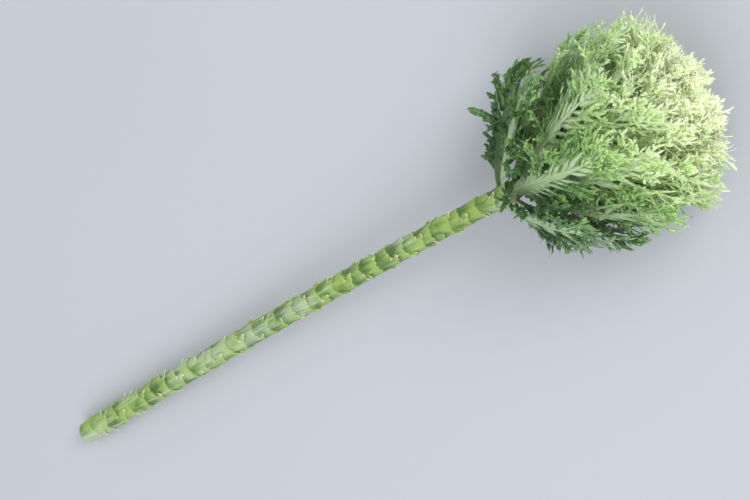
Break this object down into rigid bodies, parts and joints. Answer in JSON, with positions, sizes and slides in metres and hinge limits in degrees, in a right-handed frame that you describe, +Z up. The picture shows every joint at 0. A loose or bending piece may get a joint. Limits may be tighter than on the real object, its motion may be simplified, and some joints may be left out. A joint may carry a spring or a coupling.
{
  "type": "ornamental kale stem",
  "caption": "Cut stem of ornamental kale with feathery leaves: a scarred, slightly bent stalk with a dome of nested fringed leaves, pale at the heart, lying on its side.",
  "frame": {"origin": "On the surface that the stem lies on, under the middle of the bounding box.", "axes": "+X from the cut end towards the head, +Z up from the surface, +Y across the stem."},
  "size_m": [0.5874, 0.1532, 0.1319],
  "materials": {
    "stem": "satin",
    "heart": "satin",
    "collar_leaf": "satin",
    "outer_leaf": "satin",
    "middle_leaf": "satin",
    "inner_leaf": "satin"
  },
  "bodies": {
    "root": {"stem": "stem", "heart": "heart", "collar_leaf_01": "collar_leaf", "collar_leaf_02": "collar_leaf", "collar_leaf_03": "collar_leaf", "collar_leaf_04": "collar_leaf", "collar_leaf_05": "collar_leaf", "outer_leaf_01": "outer_leaf", "outer_leaf_02": "outer_leaf", "outer_leaf_03": "outer_leaf", "outer_leaf_04": "outer_leaf", "outer_leaf_05": "outer_leaf", "outer_leaf_06": "outer_leaf", "outer_leaf_07": "outer_leaf", "outer_leaf_08": "outer_leaf", "outer_leaf_09": "outer_leaf", "outer_leaf_10": "outer_leaf", "outer_leaf_11": "outer_leaf", "outer_leaf_12": "outer_leaf", "outer_leaf_13": "outer_leaf", "outer_leaf_14": "outer_leaf", "outer_leaf_15": "outer_leaf", "outer_leaf_16": "outer_leaf", "middle_leaf_01": "middle_leaf", "middle_leaf_02": "middle_leaf", "middle_leaf_03": "middle_leaf", "middle_leaf_04": "middle_leaf", "middle_leaf_05": "middle_leaf", "middle_leaf_06": "middle_leaf", "middle_leaf_07": "middle_leaf", "middle_leaf_08": "middle_leaf", "middle_leaf_09": "middle_leaf", "middle_leaf_10": "middle_leaf", "middle_leaf_11": "middle_leaf", "middle_leaf_12": "middle_leaf", "middle_leaf_13": "middle_leaf", "middle_leaf_14": "middle_leaf", "middle_leaf_15": "middle_leaf", "middle_leaf_16": "middle_leaf", "middle_leaf_17": "middle_leaf", "middle_leaf_18": "middle_leaf", "inner_leaf_01": "inner_leaf", "inner_leaf_02": "inner_leaf", "inner_leaf_03": "inner_leaf", "inner_leaf_04": "inner_leaf", "inner_leaf_05": "inner_leaf", "inner_leaf_06": "inner_leaf", "inner_leaf_07": "inner_leaf", "inner_leaf_08": "inner_leaf", "inner_leaf_09": "inner_leaf", "inner_leaf_10": "inner_leaf", "inner_leaf_11": "inner_leaf", "inner_leaf_12": "inner_leaf", "inner_leaf_13": "inner_leaf", "inner_leaf_14": "inner_leaf", "inner_leaf_15": "inner_leaf", "inner_leaf_16": "inner_leaf", "inner_leaf_17": "inner_leaf"}
  },
  "joints": []
}
